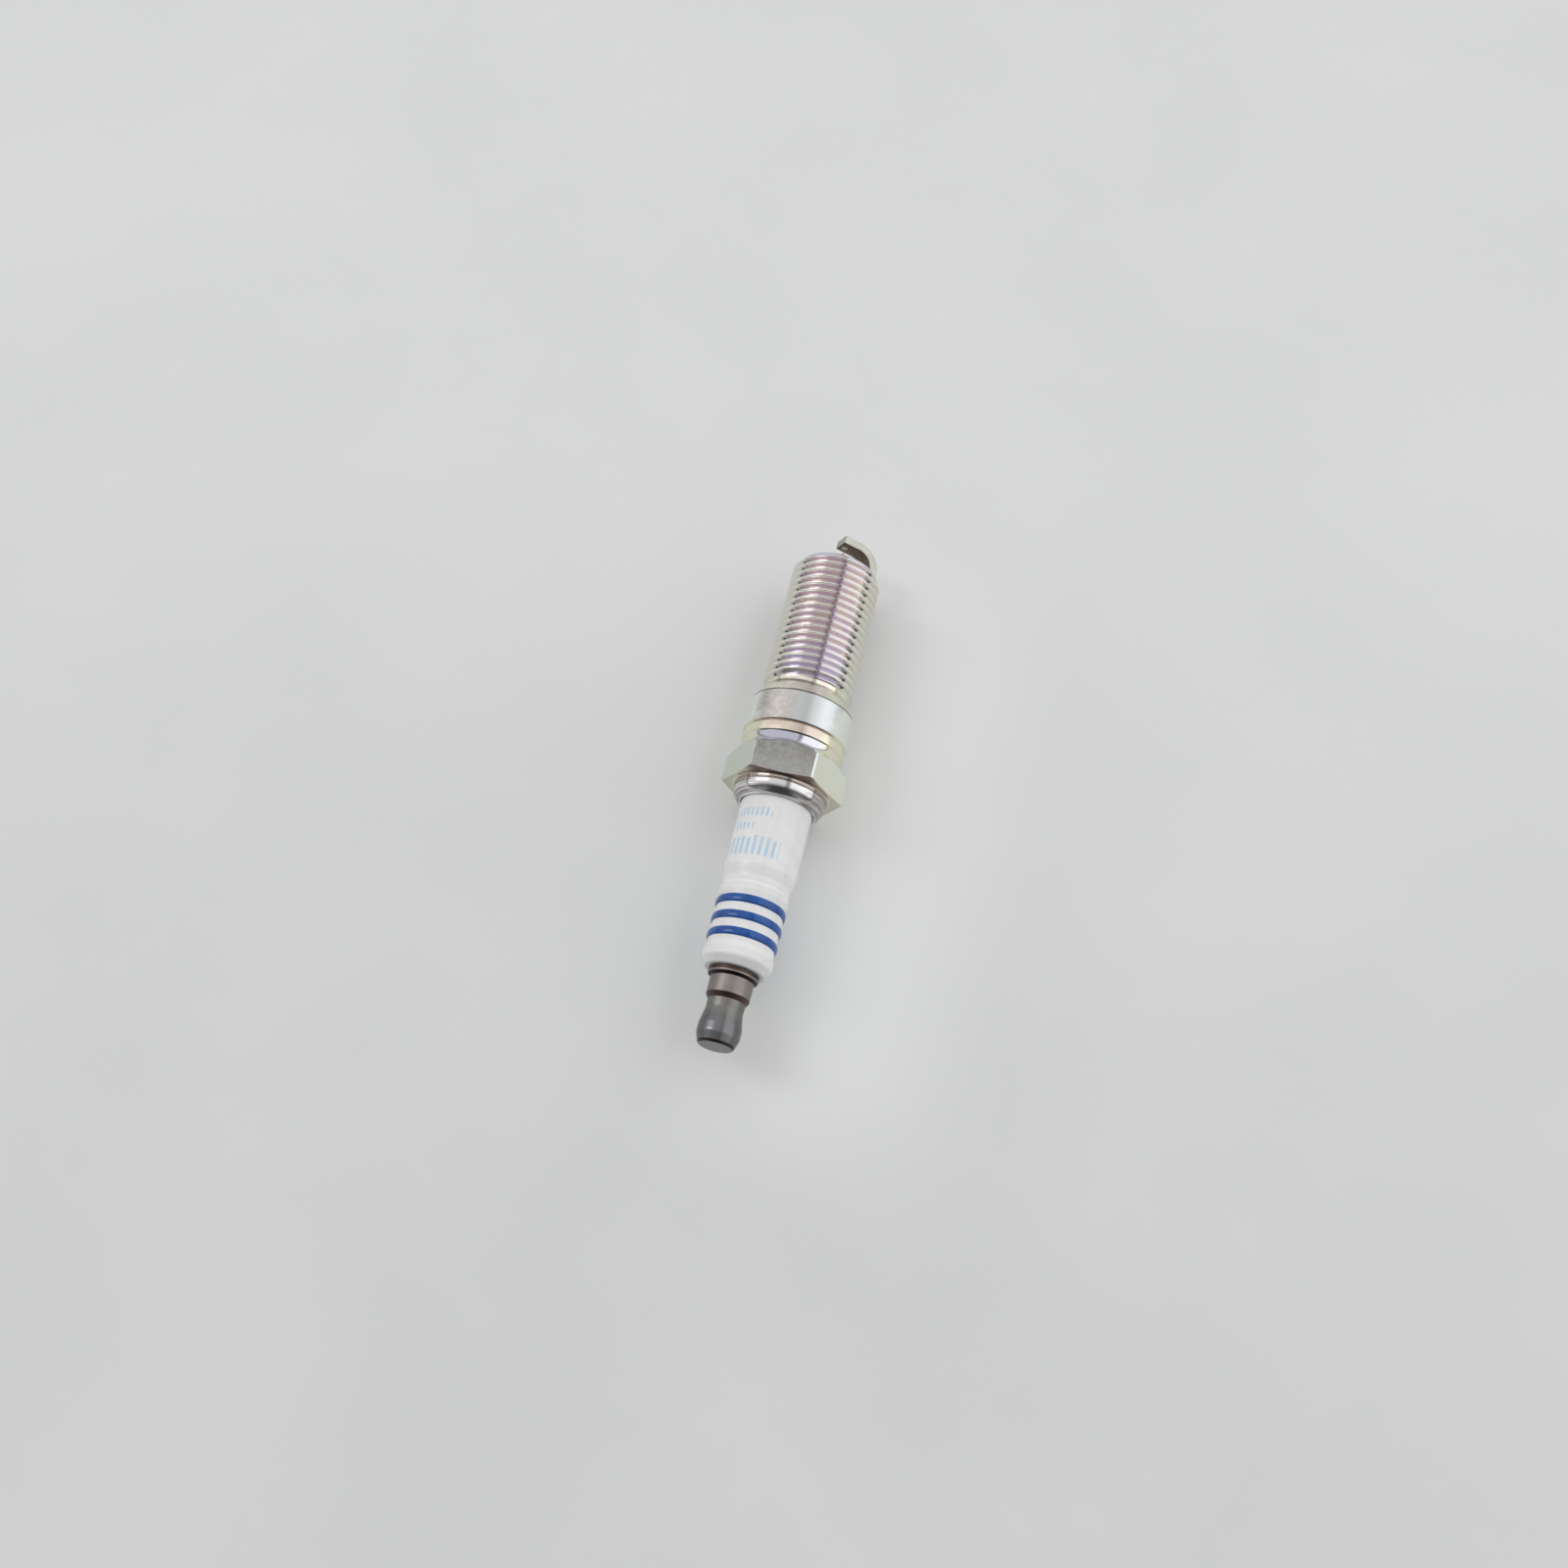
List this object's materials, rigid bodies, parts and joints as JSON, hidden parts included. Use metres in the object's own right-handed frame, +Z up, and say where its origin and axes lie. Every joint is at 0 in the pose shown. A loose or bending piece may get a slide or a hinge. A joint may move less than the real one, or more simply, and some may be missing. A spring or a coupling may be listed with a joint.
{
  "type": "spark plug",
  "caption": "Long-reach conical-seat spark plug with a hexagon, ribbed ceramic insulator, solid push-on terminal and bent ground strap.",
  "frame": {"origin": "on the plug's axis, in the plane of the conical seat's gauge circle", "axes": "+Y along the plug's axis towards the firing end, +Z up with the plug lying on one flat of its hexagon, +X across"},
  "size_m": [0.0184, 0.0848, 0.016],
  "materials": {
    "plated_steel": "bright zinc plating over rolled and turned steel, pale yellow, green and pink tints",
    "glazed_ceramic": "glossy white glaze over alumina",
    "dark_steel": "dark oxidised steel, satin",
    "conductive_glass": "opaque metal-filled glass",
    "resistor_slug": "matt black carbon and glass",
    "nickel_alloy": "drawn nickel alloy, satin",
    "copper": "drawn copper",
    "precious_metal": "bright drawn wire",
    "soft_steel": "soft steel, dull",
    "talc": "pressed powder, matt"
  },
  "bodies": {
    "root": {"metal_shell": "plated_steel", "insulator": "glazed_ceramic", "terminal_stud": "dark_steel", "upper_glass_seal": "conductive_glass", "resistor": "resistor_slug", "lower_glass_seal": "conductive_glass", "centre_electrode": "nickel_alloy", "electrode_copper_core": "copper", "wire_tip": "precious_metal", "ground_strap": "nickel_alloy", "ground_pad": "precious_metal", "seat_washer": "soft_steel", "front_wire_ring": "soft_steel", "talc_packing": "talc", "rear_wire_ring": "soft_steel"}
  },
  "joints": []
}
